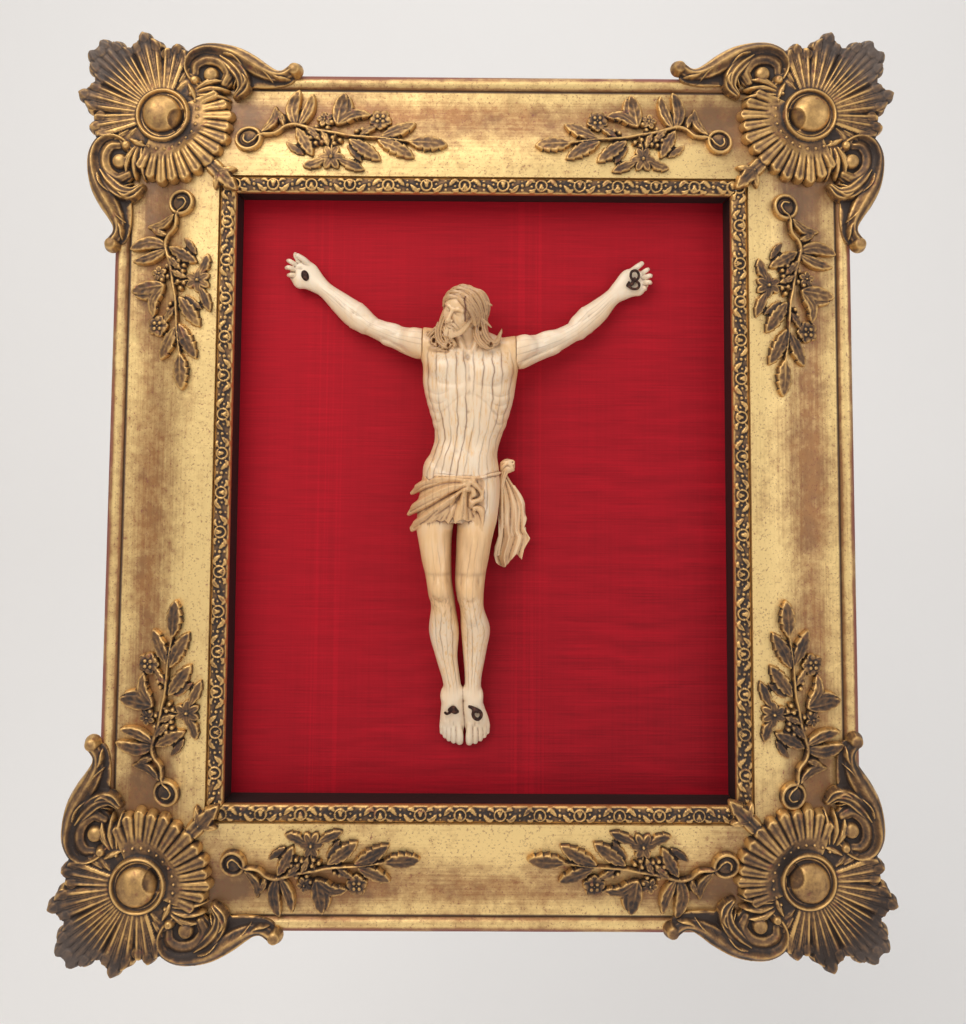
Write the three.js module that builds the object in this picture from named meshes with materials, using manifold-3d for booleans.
// Ivory corpus on a crimson silk panel in a gilt frame with corner ornaments and floral sprays.
// Millimetres. +X to the viewer's right, +Z up, the front faces -Y and the wall is the plane y = 0.
import * as THREE from "three";
import { mergeVertices } from "three/addons/utils/BufferGeometryUtils.js";
import Module from "manifold-3d";

const wasm = await Module();
wasm.setup();

// Driving sizes
const sightWidth = 252;
const sightHeight = 304;
const stripWidth = 8.6;
const coveWidth = 46.9;
const beadWidth = 8.5;
const recessDepth = 18.5;
const boardThickness = 11.2;
const silkThickness = 0.5;
const rebateWidth = 7;
const coveFall = 8.5;
const beadRise = 1.2;
const quirkDepth = 0.8;
const stripHeight = 4.6;
const sideInset = 1.2;
const corpusHeight = 230;
const corpusOffset = -8.5;
const clearance = 0.3;

// Sizes that follow from them
const silkFace = boardThickness + clearance + silkThickness;
const sightFront = silkFace + recessDepth;
const railWidth = stripWidth + coveWidth + beadWidth;
const beadStart = stripWidth + coveWidth;
const coveFoot = sightFront - coveFall;
const halfWidth = sightWidth / 2;
const halfHeight = sightHeight / 2;

const gilt = new THREE.MeshStandardMaterial({ color: 0xc79a52, roughness: 0.4, metalness: 0.8 });
const giltCast = new THREE.MeshStandardMaterial({ color: 0x8c6a38, roughness: 0.5, metalness: 0.7 });
const silk = new THREE.MeshStandardMaterial({ color: 0x8e1626, roughness: 0.55, metalness: 0 });
const boardWood = new THREE.MeshStandardMaterial({ color: 0x7a5a3c, roughness: 0.8, metalness: 0 });
const ivory = new THREE.MeshStandardMaterial({ color: 0xe6cca2, roughness: 0.4, metalness: 0 });
const iron = new THREE.MeshStandardMaterial({ color: 0x2a1c18, roughness: 0.45, metalness: 0.6 });

const framedCorpus = new THREE.Group();

function addMesh(name, geometry, material) {
  const mesh = new THREE.Mesh(geometry, material);
  mesh.name = name;
  framedCorpus.add(mesh);
  return mesh;
}

// Solids: a closed geometry becomes a solid, with its faces turned outwards, and back again
function signedVolume(positions, triangles) {
  const corner = [new THREE.Vector3(), new THREE.Vector3(), new THREE.Vector3()];
  let volume = 0;
  for (let i = 0; i < triangles.length; i += 3) {
    corner.forEach((point, k) => point.fromArray(positions, 3 * triangles[i + k]));
    volume += corner[0].dot(corner[1].cross(corner[2])) / 6;
  }
  return volume;
}

function solid(geometry) {
  const bare = geometry.clone();
  bare.deleteAttribute("normal");
  bare.deleteAttribute("uv");
  const merged = mergeVertices(bare, 1e-3);
  const positions = Float32Array.from(merged.attributes.position.array);
  const triangles = Uint32Array.from(merged.index.array);
  if (signedVolume(positions, triangles) < 0) {
    for (let i = 0; i < triangles.length; i += 3) {
      [triangles[i], triangles[i + 1]] = [triangles[i + 1], triangles[i]];
    }
  }
  const mesh = new wasm.Mesh({ numProp: 3, vertProperties: positions, triVerts: triangles });
  return new wasm.Manifold(mesh);
}

function union(geometries) {
  return geometries.map(solid).reduce((whole, next) => whole.add(next));
}

function asGeometry(manifold) {
  const { vertProperties, triVerts } = manifold.getMesh();
  const geometry = new THREE.BufferGeometry();
  geometry.setAttribute("position", new THREE.BufferAttribute(Float32Array.from(vertProperties), 3));
  geometry.setIndex(new THREE.BufferAttribute(Uint32Array.from(triVerts), 1));
  geometry.computeVertexNormals();
  return geometry;
}

// Moves every vertex of a geometry to place(x, y, z)
function warped(geometry, place) {
  const positions = geometry.attributes.position;
  for (let i = 0; i < positions.count; i += 1) {
    const point = place(positions.getX(i), positions.getY(i), positions.getZ(i));
    positions.setXYZ(i, point.x, point.y, point.z);
  }
  return geometry;
}

// A limb follows stations [x, out, z, half width, half depth]; out is measured towards the viewer
const towardsViewer = new THREE.Vector3(0, -1, 0);

function limb(stations, sides = 8, steps = 2 * (stations.length - 1)) {
  const centres = stations.map(([x, out, z]) => new THREE.Vector3(x, -out, z));
  const girths = stations.map(([, , , width, depth]) => new THREE.Vector3(width, depth, 0));
  const path = new THREE.CatmullRomCurve3(centres, false, "catmullrom", 0.5);
  const girth = new THREE.CatmullRomCurve3(girths, false, "catmullrom", 0.5);
  return warped(new THREE.CylinderGeometry(1, 1, 1, sides, steps), (x, y, z) => {
    const t = 0.5 - y;
    const along = path.getTangent(t);
    const side = new THREE.Vector3().crossVectors(towardsViewer, along).normalize();
    const front = new THREE.Vector3().crossVectors(along, side);
    const size = girth.getPoint(t);
    return path.getPoint(t).addScaledVector(side, x * size.x).addScaledVector(front, z * size.y);
  });
}

// Balls and octahedra with their own axes: three vectors with lengths, given as [x, out, z]
function onAxes(geometry, centre, axes) {
  const [right, up, front] = axes.map(([x, out, z]) => new THREE.Vector3(x, -out, z));
  return warped(geometry, (x, y, z) => new THREE.Vector3(centre[0], -centre[1], centre[2])
    .addScaledVector(right, x).addScaledVector(up, y).addScaledVector(front, z));
}

function ellipsoid(centre, axes, columns = 10, rows = 7) {
  return onAxes(new THREE.SphereGeometry(1, columns, rows), centre, axes);
}

function octahedron(centre, axes) {
  return onAxes(new THREE.OctahedronGeometry(1), centre, axes);
}

// Rail moulding: its height above the wall at a distance from the sight edge
function coveHeight(distance) {
  const share = (distance - stripWidth) / coveWidth;
  return sightFront - coveFall * THREE.MathUtils.smootherstep(share, 0.08, 0.94);
}

const beadRadius = beadWidth / 2;
const beadSteps = 5;
const beadCentre = { distance: beadStart + beadRadius, height: coveFoot + beadRise - beadRadius };

function beadPoints() {
  const points = [];
  for (let i = 0; i <= beadSteps; i += 1) {
    const angle = THREE.MathUtils.degToRad(150 - (165 * i) / beadSteps);
    points.push([
      beadCentre.distance + beadRadius * Math.cos(angle),
      beadCentre.height + beadRadius * Math.sin(angle),
    ]);
  }
  return points;
}

const coveSteps = 6;
const ledgeHeight = sightFront - stripHeight;

// Profile of the rail as [distance from the sight, height]
function railProfile() {
  const points = [
    [0, silkFace + clearance], [0, ledgeHeight], [stripWidth, ledgeHeight], [stripWidth, sightFront],
  ];
  for (let i = 1; i <= coveSteps; i += 1) {
    const distance = stripWidth + (coveWidth * i) / coveSteps;
    points.push([distance, coveHeight(distance)]);
  }
  points.push([beadStart + beadWidth * 0.04, coveFoot - quirkDepth], ...beadPoints());
  points.push([railWidth - sideInset, beadCentre.height - beadRadius * 0.7]);
  points.push([railWidth - sideInset, 0], [rebateWidth, 0], [rebateWidth, silkFace + clearance]);
  return new THREE.Shape(points.map(([x, y]) => new THREE.Vector2(x, y)));
}

const mitreCut = clearance * 0.75;

// A mitred bar along +X above the centre, at the given reach; ends shortened for the mitre's gap
function mitredBar(shape, halfLength, reach) {
  const bar = new THREE.ExtrudeGeometry(shape, { depth: 1, bevelEnabled: false });
  return warped(bar, (distance, height, along) => {
    const span = halfLength + distance - mitreCut;
    return new THREE.Vector3((2 * along - 1) * span, -height, reach + distance);
  });
}

// The four sides of the frame: quarter turns about the viewing axis
const sides = [
  { name: "top", turn: 0, halfLength: halfWidth, reach: halfHeight },
  { name: "right", turn: Math.PI / 2, halfLength: halfHeight, reach: halfWidth },
  { name: "bottom", turn: Math.PI, halfLength: halfWidth, reach: halfHeight },
  { name: "left", turn: -Math.PI / 2, halfLength: halfHeight, reach: halfWidth },
];

for (const { name, turn, halfLength, reach } of sides) {
  const bar = mitredBar(railProfile(), halfLength, reach);
  addMesh(`rail_${name}`, asGeometry(solid(bar)), gilt).rotation.y = turn;
}

// Sight strips: a low half-round casting on the rail's ledge
const stripBase = ledgeHeight + clearance;
const stripFar = stripWidth - clearance;
const stripArc = 4;
const stripCrown = 1.6;

function stripShape() {
  const points = [[stripFar, stripBase], [0, stripBase]];
  for (let i = 0; i <= stripArc; i += 1) {
    const angle = (Math.PI * i) / stripArc;
    const crown = 0.5 - 0.5 * Math.cos(angle);
    points.push([stripFar * crown, sightFront - stripCrown * (1 - Math.sin(angle))]);
  }
  return new THREE.Shape(points.map(([x, y]) => new THREE.Vector2(x, y)));
}

for (const { name, turn, halfLength, reach } of sides) {
  const bar = mitredBar(stripShape(), halfLength, reach);
  addMesh(`strip_${name}`, asGeometry(solid(bar)), giltCast).rotation.y = turn;
}

// Castings are drawn in a corner's own plane: along a rail from the sight's corner, and outwards
// across it. Their drawing is 64 wide across the rail and follows the rail's width.
const castUnit = railWidth / 64;
const sprayUnit = sightWidth / 252;

// Close to the bead a casting lies level with the bead's top, over the quirk
const bridge = 8;

function surfaceHeight(along, across) {
  const distance = Math.max(along < 0 ? -along : 0, across);
  if (distance <= stripWidth) return sightFront;
  return distance < beadStart - bridge ? coveHeight(distance) : coveFoot + beadRise;
}

// The eight ways to lay a casting: each corner, with the drawing along one rail or the other. A
// nudge moves a casting that was set a little off.
function cornerPlace(signX, signZ, swap, [nudgeX, nudgeZ] = [0, 0]) {
  const onFrame = (along, across) => {
    const [a, b] = swap ? [-across, -along] : [along, across];
    return [a + nudgeX, b + nudgeZ];
  };
  const place = (along, across, height) => {
    const [a, b] = onFrame(along, across);
    return new THREE.Vector3(signX * (halfWidth - a), -height, signZ * (halfHeight + b));
  };
  place.height = (along, across) => surfaceHeight(...onFrame(along, across));
  return place;
}

// A ridge over stations [along, across, half width, rise]; its foot keeps the clearance
function ridge(stations, place, unit, faces, steps) {
  const drawn = stations.map(([along, across, width, rise]) => {
    const base = place.height(along * unit, across * castUnit);
    return [along * unit, base, across * castUnit, width * castUnit, rise * castUnit];
  });
  return warped(limb(drawn, faces, steps), (x, y, z) =>
    place(x, z, Math.max(-y, place.height(x, z) + clearance)));
}

// A leaf from its root over its widest point to its tip: a tetrahedron whose upper edge is the
// keel, from root to tip, and whose lower edge joins its two sides
const rootLift = 1.1;
const tipShare = 0.75;
const sideLift = 0.5;
const rootReach = 0.8;

function leaf([root, widest, tip, halfLeafWidth, rise], place, unit, lifted = rootLift) {
  const [rootPoint, widePoint, tipPoint] = [root, widest, tip].map(
    ([along, across]) => new THREE.Vector2(along * unit, across * castUnit));
  const forwards = tipPoint.clone().sub(rootPoint).normalize();
  const sideways = forwards.clone().rotateAround(new THREE.Vector2(), Math.PI / 2);
  rootPoint.addScaledVector(forwards, -rootReach);
  return warped(new THREE.TetrahedronGeometry(1), (x, y, z) => {
    const isKeel = z > 0;
    const side = widePoint.clone().addScaledVector(sideways, Math.sign(x) * halfLeafWidth * castUnit);
    const point = isKeel ? (x > 0 ? rootPoint : tipPoint) : side;
    const lift = isKeel ? (x > 0 ? lifted : rise * tipShare) * castUnit : sideLift;
    return place(point.x, point.y, place.height(point.x, point.y) + lift);
  });
}

// Corner ornament: a boss in a disc of flutes, drawn around the boss as [angle, reach] of each tip
const bossInset = 39;
const discTips = [
  [76, 38], [88, 41], [105, 48.5], [120, 46], [134, 57.5], [148, 46], [163, 48], [182, 40], [194, 36],
  [252, 31], [270, 36], [288, 38], [306, 41], [324, 41], [342, 38], [360, 36], [378, 31],
];
const discHub = 12;
const discRise = 5.4;
const discEdge = 1.7;
const discFoot = { radius: 23, lift: 1.3, middle: 3.3 };

// The disc's three rings, as radius and height over the rail: hub, rim and foot
function discRing(ring, rim, isValley) {
  const edgeLift = isValley ? discEdge * 0.6 : discEdge;
  return [[discHub, discRise], [rim, edgeLift], [discFoot.radius, discFoot.lift]][ring];
}

function disc(place) {
  const columns = 2 * discTips.length;
  return warped(new THREE.CylinderGeometry(1, 1, 1, columns, 2), (x, y, z) => {
    const index = Math.round((Math.atan2(x, z) / (2 * Math.PI) + 1) * columns) % columns;
    const isValley = index % 2 === 1;
    const before = discTips[index >> 1];
    const after = discTips[((index + 1) >> 1) % discTips.length];
    const turn = after[0] < before[0] ? 360 : 0;
    const angle = THREE.MathUtils.degToRad((before[0] + after[0] + turn) / 2);
    const rim = isValley ? 0.9 * Math.min(before[1], after[1]) : before[1];
    const ring = Math.round((0.5 - y) * 2);
    const isMiddle = Math.hypot(x, z) < 0.5;
    const [radius, lift] = isMiddle ? [0, ring ? discFoot.middle : discRise] : discRing(ring, rim, isValley);
    const along = (radius * Math.cos(angle) - bossInset) * castUnit;
    const across = (radius * Math.sin(angle) + bossInset) * castUnit;
    return place(along, across, place.height(along, across) + lift * castUnit);
  });
}

function boss(place) {
  const outline = [[0, 4.2], [13.4, 3.8], [13.4, 5.8], [10.6, 5.2], [8.8, 9.6], [0, 13]];
  const turned = new THREE.LatheGeometry(outline.map(([r, h]) => new THREE.Vector2(r, h)), 11);
  const base = place.height(-bossInset * castUnit, bossInset * castUnit);
  return warped(turned, (x, y, z) => place(
    (x - bossInset) * castUnit, (z + bossInset) * castUnit, base + y * castUnit));
}

// The acanthus scroll: from its volute, over the rail's edge, to its round tip, and a lobe inside
const scrollLeaf = [
  [-23.5, 58, 3.2, 5], [-28, 65, 2.8, 5], [-24.5, 72, 3.2, 5], [-14.5, 73, 4.8, 6],
  [-5.4, 69.4, 6.2, 6.2], [3.8, 64.2, 6, 5.6], [11.6, 61.4, 4.6, 4.6], [19, 60.6, 3, 3.8],
  [25.4, 64.6, 4.4, 5.4], [27.5, 67.5, 1.2, 2],
];
const scrollLobe = [[-6, 66], [0.5, 58], [-0.2, 50.5], 5, 5.6];
const sightLeaf = [[-21, 21], [-11, 11], [1, -1], 3.8, 3.4];

function cornerOrnament(signX, signZ, nudge) {
  const place = cornerPlace(signX, signZ, false, nudge);
  const swapped = cornerPlace(signX, signZ, true, nudge);
  const pieces = [disc(place), boss(place), leaf(sightLeaf, place, castUnit, 2.4)];
  for (const way of [place, swapped]) {
    pieces.push(ridge(scrollLeaf, way, castUnit, 3, 9), leaf(scrollLobe, way, castUnit));
  }
  return union(pieces);
}

// Floral spray: a stem out of its volute, and leaves and buds as [root, widest, tip, half width,
// rise], where a root on the stem is the share of its length
const sprayStem = [
  [8.4, 33.6, 0.9, 1.6], [1.2, 30.4, 1.3, 1.9], [2.4, 23.4, 1.3, 1.9], [9.4, 21.8, 1.3, 1.9],
  [14.4, 27.4, 1.2, 1.9], [18.4, 32.2, 1.2, 2], [26, 35.2, 1.2, 2], [38.8, 32, 1.2, 2],
  [58.4, 29.2, 1.2, 1.9], [74, 27.4, 1.2, 1.8], [91, 26, 1.1, 1.8],
];
const stemPath = new THREE.CatmullRomCurve3(
  sprayStem.map(([along, across]) => new THREE.Vector3(along, across, 0)), false, "catmullrom", 0.5);
const sprayLeaves = [
  [0.585, [20.7, 40.6], [18, 46.4], 2.6, 2.2],
  [0.62, [28.8, 46], [31.2, 54.6], 3.4, 2.6],
  [0.64, [36, 44.6], [38.6, 52.4], 3, 2.4],
  [0.645, [34.8, 27], [39.4, 18.6], 3.3, 2.4],
  [0.76, [54.6, 43.4], [56.6, 53], 4.8, 2.8],
  [0.81, [66.2, 22.8], [74, 14.8], 4, 2.6],
  [0.9, [82.4, 22.6], [91, 18], 4, 2.4],
  [0.916, [84, 32], [92, 37.4], 4, 2.4],
  [0.985, [98.4, 24.8], [108, 23.3], 4.6, 2.6],
  [0.735, [45.8, 38.4], [46, 43], 4.2, 3],
  [0.743, [47.6, 26.6], [49.2, 18.2], 3.6, 2.8],
  [0.88, [72, 37.4], [73, 43.6], 5.4, 4],
].map(([root, ...rest]) => {
  const { x, y } = Array.isArray(root) ? new THREE.Vector2(...root) : stemPath.getPoint(root);
  return [[x, y], ...rest];
});

// The star flower, and the two long leaves at its sides
const starFlower = {
  along: 49.3, across: 17.6, points: 6, reach: 6.4, hollow: 3.3, leafReach: 15, rise: 2.8,
};

function star(place) {
  const { along, across, points, reach, hollow, leafReach, rise } = starFlower;
  return warped(new THREE.ConeGeometry(1, 1, 2 * points), (x, y, z) => {
    const index = Math.round(Math.abs(Math.atan2(x, z) / Math.PI) * points);
    const radius = index % points === 0 ? leafReach : index % 2 === 0 ? reach : hollow;
    const [a, b] = [(along + z * radius) * sprayUnit, (across + x * radius) * castUnit];
    return place(a, b, place.height(a, b) + (y > 0 ? rise * castUnit : clearance));
  });
}

function spray(place) {
  return union([
    ridge(sprayStem, place, sprayUnit, 3, 12),
    ...sprayLeaves.map((form) => leaf(form, place, sprayUnit)),
    star(place),
  ]);
}

// Where each corner's casting sits off its place, to the right of the corner and outwards
const corners = [
  { name: "top_left", signX: -1, signZ: 1, nudge: [0.5, 0.7] },
  { name: "top_right", signX: 1, signZ: 1, nudge: [-2, 3.4] },
  { name: "bottom_left", signX: -1, signZ: -1, nudge: [-1.6, -0.5] },
  { name: "bottom_right", signX: 1, signZ: -1, nudge: [4.2, -3.7] },
];

for (const { name, signX, signZ, nudge } of corners) {
  addMesh(`corner_${name}`, asGeometry(cornerOrnament(signX, signZ, nudge)), giltCast);
  const [level, end] = name.split("_");
  addMesh(`spray_${level}_${end}`, asGeometry(spray(cornerPlace(signX, signZ, false))), giltCast);
  addMesh(`spray_${end}_${level}`, asGeometry(spray(cornerPlace(signX, signZ, true))), giltCast);
}

// Panel: the board fills the rebate, and the silk lies over its front
const panelWidth = sightWidth + 2 * (rebateWidth - clearance);
const panelHeight = sightHeight + 2 * (rebateWidth - clearance);
const board = new THREE.BoxGeometry(panelWidth, boardThickness, panelHeight);
addMesh("backing_board", board, boardWood).position.y = -boardThickness / 2;
const cloth = new THREE.BoxGeometry(panelWidth, silkThickness, panelHeight);
addMesh("silk_cover", cloth, silk).position.y = -(boardThickness + clearance + silkThickness / 2);

// The figure is drawn 230 units tall from crown to toe as [x, out, z], out from the silk, and
// scaled to its height. Left and right are the viewer's.
const figureUnit = corpusHeight / 230;
const figureGap = clearance / figureUnit;

function slab(x0, x1, out0, out1, z0, z1) {
  const box = new THREE.BoxGeometry(x1 - x0, out1 - out0, z1 - z0);
  box.translate((x0 + x1) / 2, -(out0 + out1) / 2, (z0 + z1) / 2);
  return solid(box);
}

// What lies in or behind the silk's face is cut away, so that backs are flat
const behindSilk = slab(-200, 200, -60, figureGap, -200, 200);

function grown(stations, by) {
  return stations.map(([x, out, z, width, depth]) => [x, out, z, width + by, depth + by]);
}

function addFigure(name, manifold, material) {
  const mesh = addMesh(name, asGeometry(manifold.subtract(behindSilk)), material);
  mesh.geometry.scale(figureUnit, figureUnit, figureUnit);
  mesh.position.set(corpusOffset, -silkFace, 0);
}

const torso = [
  [1, 13, 83, 7, 5], [1.2, 13, 79.5, 15, 8], [1, 13.2, 75.5, 21, 9.5], [1.4, 13.6, 70, 24, 11],
  [2.2, 14.4, 63, 24, 12.4], [1.8, 14.8, 55, 23.4, 13], [2, 14.8, 46.6, 21.9, 12.8],
  [2, 14.4, 34, 18.4, 11.6], [1, 14, 27, 16.6, 10.8], [-0.9, 14.2, 19.6, 16.9, 11],
  [-2, 14.8, 11, 19, 12], [-2.4, 15.4, 1, 19.6, 13], [-2.6, 15.4, -8, 18.4, 12], [-3, 15, -14, 12, 9],
];
const neck = [[1, 14, 72, 9, 8], [1.6, 18, 80, 6.6, 6.6], [2, 22, 88, 6.4, 6.8]];
const legLeft = [
  [-12, 15.5, 4, 10, 11], [-14.2, 16.6, -10, 9.6, 10.5], [-15, 18, -19, 8.8, 9.6],
  [-13.9, 20.4, -30, 7.3, 8.4], [-12.4, 22.6, -42, 6.3, 7.2], [-11.3, 22.8, -49, 6.3, 7],
  [-10.3, 20.6, -55, 6, 6.6], [-10, 15.4, -68, 7.4, 7.2], [-8.8, 11.8, -81, 5.5, 5.6],
  [-6, 9, -95, 4.4, 4.7], [-5.9, 8, -101.5, 5.2, 4.6], [-5.8, 7.2, -107, 5.6, 4.6],
  [-5.6, 6, -114.5, 6, 4], [-5, 4.6, -121, 5, 2.6],
];
const legRight = [
  [8, 15.5, 4, 10, 11], [6.6, 16.6, -10, 9.8, 10.6], [5.2, 18, -19, 9.2, 9.8],
  [3.8, 20.6, -30, 8, 8.8], [2.8, 23, -42, 7.3, 7.6], [3, 23.4, -50, 6.5, 7],
  [3.9, 21, -56, 5.9, 6.6], [5.6, 15.4, -66.5, 7.2, 7.2], [5.3, 12, -78, 5.9, 5.8],
  [4.6, 9, -93, 4.1, 4.6], [4.5, 8, -102, 4.5, 4.5], [5.2, 7.2, -107.5, 5.4, 4.6],
  [6.5, 6, -114.5, 6, 4], [6.2, 4.6, -121, 5, 2.6],
];

// Toes from the big toe outwards: [x, z of the tip, half width]
const toesLeft = [[-1.9, -125.7, 1.9], [-4.8, -125.1, 1.3], [-7.2, -124.2, 1.2], [-9.3, -122.6, 1.2]];
const toesRight = [[2.7, -126, 1.9], [5.9, -125.6, 1.3], [8.5, -124.3, 1.2], [10.8, -122.4, 1.2]];

function toe([x, z, width]) {
  return octahedron([x, 3.6, z + 4.2], [[width * 1.3, 0, 0], [0, 0, 4.2], [0, 3, 0]]);
}

// The head is bowed: directions it faces, of its crown, and of its right side as seen
const headCentre = [-1.2, 26, 92.5];
const headFront = [-0.55, 0.76, -0.35];
const headUp = [0.169, 0.51, 0.843];
const headSide = [0.819, 0.4045, -0.409];

function headPoint(side, up, front) {
  return headCentre.map((c, i) => c + headSide[i] * side + headUp[i] * up + headFront[i] * front);
}

function headBall(side, up, front, halfSide, halfUp, halfFront, columns, rows) {
  const axes = [[headSide, halfSide], [headUp, halfUp], [headFront, halfFront]]
    .map(([axis, size]) => axis.map((value) => value * size));
  return ellipsoid(headPoint(side, up, front), axes, columns, rows);
}

function head() {
  return [
    headBall(0, 0.4, -0.6, 10.9, 11.6, 12.4, 10, 7),
    headBall(0, -4.4, 4.2, 7.4, 9.6, 8.4, 8, 6),
    headBall(0, -9.6, 6.6, 5.2, 5, 4.8, 6, 4),
    limb([[...headPoint(0, 3.4, 10.6), 1.3, 1.6], [...headPoint(0, -3.6, 13.6), 2.2, 2]], 4, 1),
  ];
}

// Locks of hair on both shoulders, and the tuft that stands out at the temple
const hairLocks = [
  [[6, 27, 97, 3.4, 4], [9.6, 26.5, 91.5, 3.2, 4], [8.6, 25.5, 85, 2.8, 3.6], [9.6, 25, 79, 3.6, 3.6],
    [11.4, 25, 74.8, 3.4, 3], [15.2, 23.4, 75, 2.6, 2.6], [16.6, 21.6, 79, 1.9, 2], [18, 20, 82.8, 0.5, 0.6]],
  [[-8.6, 27, 92, 3.2, 4], [-11.2, 25.5, 85.5, 3, 4], [-13.2, 23.6, 80, 4.2, 4], [-13, 22.6, 75, 4.2, 3.4],
    [-9.6, 23, 71.8, 2, 2.2]],
  [[-10, 22, 83, 2.6, 3], [-15.6, 19.6, 80.2, 2.8, 3], [-19.4, 16.6, 76.4, 1.6, 2]],
  [[5, 30, 96.4, 2.4, 2.6], [9.4, 30, 94.6, 2, 2.2], [12.8, 28, 93, 0.6, 0.8]],
];

// The loincloth: folds gathered at the front from the points at the hip, and its hanging edges
const clothWrap = [
  [-5, 15.4, 8, 16.6, 14], [-6, 15.8, -3, 18.2, 16.4], [-6.4, 16, -9, 18, 16], [-6.6, 16, -13.4, 15, 13],
];
const clothFolds = [
  [[-27, 13, 0.4, 0.6, 1.6], [-18.4, 23, 5.2, 2.6, 3], [-7, 28.4, 7.2, 2.4, 3], [1, 29.4, 7, 1.8, 2.4]],
  [[-28.6, 14, -10.6, 0.9, 2], [-19, 25, -3.6, 3.6, 3.4], [-8, 30.2, 2.4, 3, 3], [1, 30.4, 5, 1.8, 2.4]],
  [[-27, 15, -18, 0.9, 2], [-18.4, 25.4, -11.4, 3.4, 3], [-9, 30, -3.6, 3, 3], [0.6, 31, 3.4, 1.8, 2.4]],
  [[-0.6, 30.4, 5, 3.4, 3], [-0.8, 29.6, -5, 3, 3.4], [-0.8, 28, -12.4, 2.6, 2.4]],
  [[3.6, 30, 6, 2.4, 2.4], [8.2, 28.4, 1, 2.2, 3], [3.6, 29.8, -3, 2.2, 3], [5, 29, -7, 2.4, 3],
    [8.4, 27.4, -10.4, 1.8, 2.4], [8, 26, -17, 0.6, 0.8]],
];
// Arms, cut at a joint plane: the stub inside it belongs to the body
const jointLeft = -22;
const jointRight = 25;
const armLeft = [
  [-15, 13.5, 75, 8, 7.5], [-22, 13, 75.6, 8.4, 7.4], [-29, 11.5, 77, 7.2, 6.8], [-36, 9.8, 79.4, 5.9, 6],
  [-44, 8.6, 82.6, 5.3, 5.5], [-50, 8, 85.4, 5.1, 5.2], [-57, 7.4, 89.4, 5.4, 5.2],
  [-65, 6.6, 96, 4.7, 4.6], [-72.6, 5.6, 103, 3.8, 3.7], [-77.5, 5, 107, 5, 3.6],
  [-83.6, 4.6, 111.6, 7.2, 3.4], [-88.4, 4.6, 114.8, 6.6, 3], [-90.6, 4.8, 116.2, 3, 1.6],
];
const armRight = [
  [18, 13.5, 70.2, 8.4, 7.5], [25, 13, 71, 8.8, 7.4], [32, 11.5, 73, 7.6, 6.8], [40, 9.8, 75.4, 6.3, 6],
  [48, 8.6, 78.8, 5.5, 5.5], [56.4, 8, 83.6, 5.1, 5.2], [62, 7.4, 88, 5.4, 5.2],
  [68.3, 6.8, 93.4, 5.1, 4.8], [75, 5.8, 100.4, 4.1, 3.9], [79.6, 5, 104.4, 5.4, 3.6],
  [86, 4.6, 109.2, 7.4, 3.4], [91, 4.6, 111.8, 6.6, 3], [93.2, 4.8, 113, 3, 1.6],
];

// Fingers: [root x, root z, tip x, tip z, half width]
const fingersLeft = [
  [-82.6, 118, -87.6, 121.6, 1.6], [-87.6, 118.4, -90, 123, 1.4], [-89.6, 117, -93, 119.8, 1.5],
  [-90.4, 114.4, -94.2, 115.8, 1.5], [-89.6, 110.8, -93.2, 110.8, 1.8],
];
const fingersRight = [
  [86.6, 115, 91.8, 119.8, 1.7], [91.4, 113.4, 95, 116.9, 1.5], [92.6, 111, 96.6, 112.8, 1.5],
  [91.6, 108.4, 96.4, 108.4, 1.7],
];

function finger([x0, z0, x1, z1, width]) {
  return limb([[x0, 4.6, z0, width, width], [x1, 6.6, z1, width * 0.8, width * 0.8]], 4, 1);
}

const nailHead = { centre: [-83.5, 8.2, 110.9], halfWidth: 1.9, halfLength: 2.9, rise: 1.7, lean: 0.34 };

function nail(by) {
  const { centre, halfWidth: width, halfLength, rise, lean } = nailHead;
  const across = [Math.cos(lean) * (width + by), 0, Math.sin(lean) * (width + by)];
  const along = [-Math.sin(lean) * (halfLength + by), 0, Math.cos(lean) * (halfLength + by)];
  return ellipsoid(centre, [across, along, [0, rise + by, 0]], 8, 4);
}

// A wire tie: loops [x, z, radius] lying on the skin at a height, and a peg into it at the first
const wireRadius = 0.45;
const wireTies = {
  wire_hand_right: { out: 9.1, peg: [86.4, 109.4], loops: [[86.1, 112, 2.2], [87, 106.8, 2.1]] },
  wire_foot_left: { out: 12.8, peg: [-5.4, -107.4], loops: [[-6.2, -107.8, 1.6]] },
  wire_foot_right: { out: 12.7, peg: [6.6, -107.6], loops: [[6.6, -109.5, 2.3]] },
};

function peg({ out, peg: [x, z] }, by) {
  const reach = wireRadius * 1.6 + by;
  return limb([[x, out - 4 - by, z - 0.05, reach, reach], [x, out + 0.2, z, reach, reach]], 4, 1);
}

function wireTie(tie) {
  const pieces = tie.loops.map(([x, z, radius]) => {
    const loop = new THREE.TorusGeometry(radius, wireRadius, 3, 7);
    loop.rotateX(Math.PI / 2);
    loop.translate(x, -tie.out, z);
    return loop;
  });
  return union([...pieces, peg(tie, 0)]);
}

// The knot and hanging end of the cloth: a fluted sheet between its two edges
function edge(points) {
  return new THREE.SplineCurve(points.map(([x, z]) => new THREE.Vector2(x, z)));
}

const hangLeft = edge([[18, 9], [18, 0], [17.4, -13], [17, -22], [14.9, -31], [17.4, -37]]);
const hangRight = edge([[20.6, 9], [26.4, 1], [30, -6], [30.6, -13], [29.6, -19], [32.4, -23], [28.8, -34]]);
const hangFlutes = 3;

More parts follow.
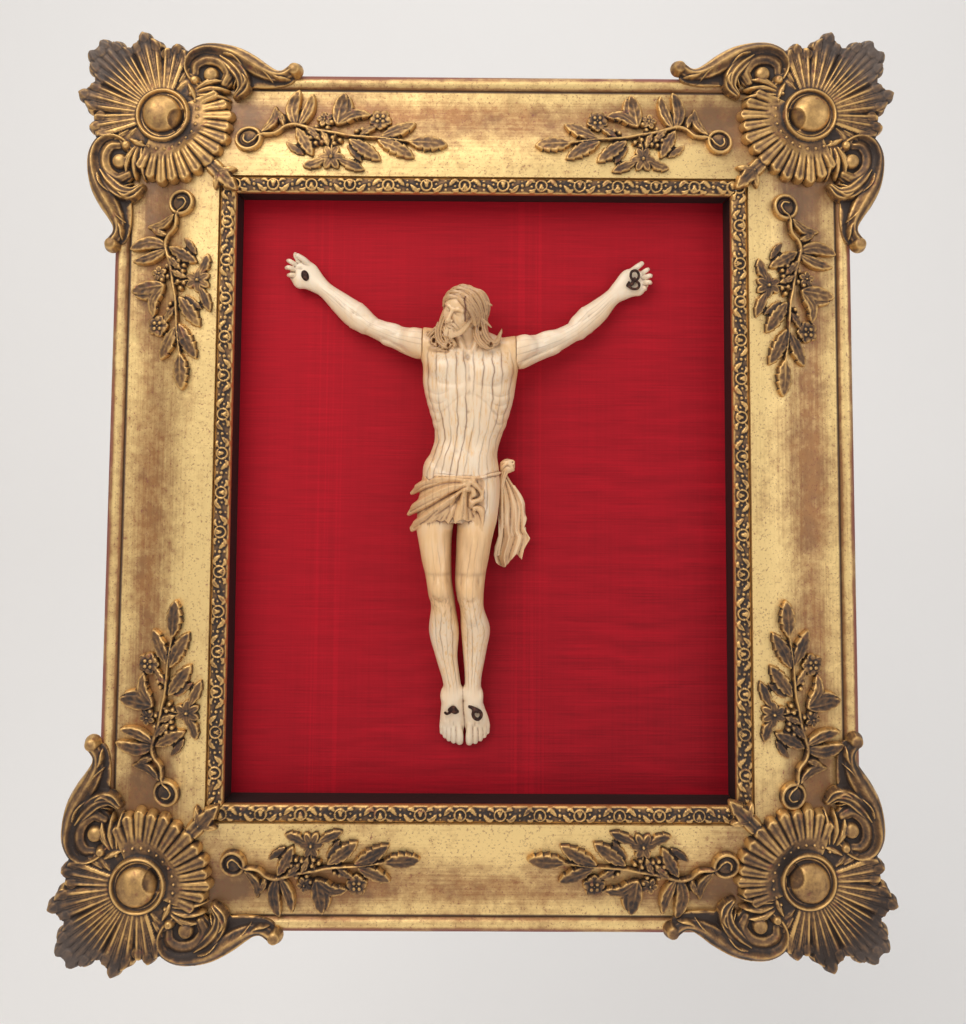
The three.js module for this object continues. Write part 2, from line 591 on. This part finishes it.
function hangingSheet() {
  return warped(new THREE.BoxGeometry(1, 1, 1, 2 * hangFlutes, 1, 6), (x, y, z) => {
    const across = x + 0.5;
    const down = 0.5 - z;
    const left = hangLeft.getPoint(down);
    const right = hangRight.getPoint(down);
    const point = left.lerp(right, across);
    const wave = Math.cos(across * hangFlutes * 2 * Math.PI) * (0.5 + 1.2 * down);
    const out = 11.5 - 3 * down + wave + (y < 0 ? 1.2 : -1.2);
    return new THREE.Vector3(point.x, -out, point.y);
  });
}

const knot = [
  [18.8, 13, 8, 1.6, 2], [19.6, 13, 10.6, 1.8, 2.2], [21.4, 13, 14.4, 3.9, 3.9], [22.6, 13, 18, 1.6, 1.8],
];
const clothBody = [torso, legRight, clothWrap].map((form) => solid(limb(grown(form, figureGap), 12, 12)));

const armStubs = [
  solid(limb(armLeft, 6, 12)).intersect(slab(jointLeft, 0, -60, 60, 0, 200)),
  solid(limb(armRight, 6, 12)).intersect(slab(0, jointRight, -60, 60, 0, 200)),
];
const bodyForms = [
  limb(torso, 12, 10), limb(neck, 6, 2), limb(legLeft, 7, 11), limb(legRight, 7, 11),
  limb(clothWrap, 10, 2), ...toesLeft.map(toe), ...toesRight.map(toe), ...head(),
  ...hairLocks.map((lock) => limb(lock, 4, lock.length - 1)),
  ...clothFolds.map((fold) => limb(fold, 4, fold.length - 1)),
];
const footPegs = [peg(wireTies.wire_foot_left, figureGap), peg(wireTies.wire_foot_right, figureGap)];
const bodySolid = [union(bodyForms), ...armStubs].reduce((whole, next) => whole.add(next));
addFigure("corpus_body", bodySolid.subtract(union(footPegs)), ivory);

const torsoRoom = solid(limb(grown(torso, figureGap), 12, 10));
const armLeftSolid = union([limb(armLeft, 6, 12), ...fingersLeft.map(finger)])
  .intersect(slab(-200, jointLeft - figureGap, -60, 60, 0, 200))
  .subtract(torsoRoom).subtract(solid(nail(figureGap)));
addFigure("arm_left", armLeftSolid, ivory);
const armRightSolid = union([limb(armRight, 6, 12), ...fingersRight.map(finger)])
  .intersect(slab(jointRight + figureGap, 200, -60, 60, 0, 200))
  .subtract(torsoRoom).subtract(solid(peg(wireTies.wire_hand_right, figureGap)));
addFigure("arm_right", armRightSolid, ivory);

const clothEnd = union([hangingSheet(), limb(knot, 6, 4)]);
addFigure("cloth_end", clothBody.reduce((rest, form) => rest.subtract(form), clothEnd), ivory);

addFigure("nail_hand_left", solid(nail(0)), iron);
for (const [name, tie] of Object.entries(wireTies)) addFigure(name, wireTie(tie), iron);

export default framedCorpus;
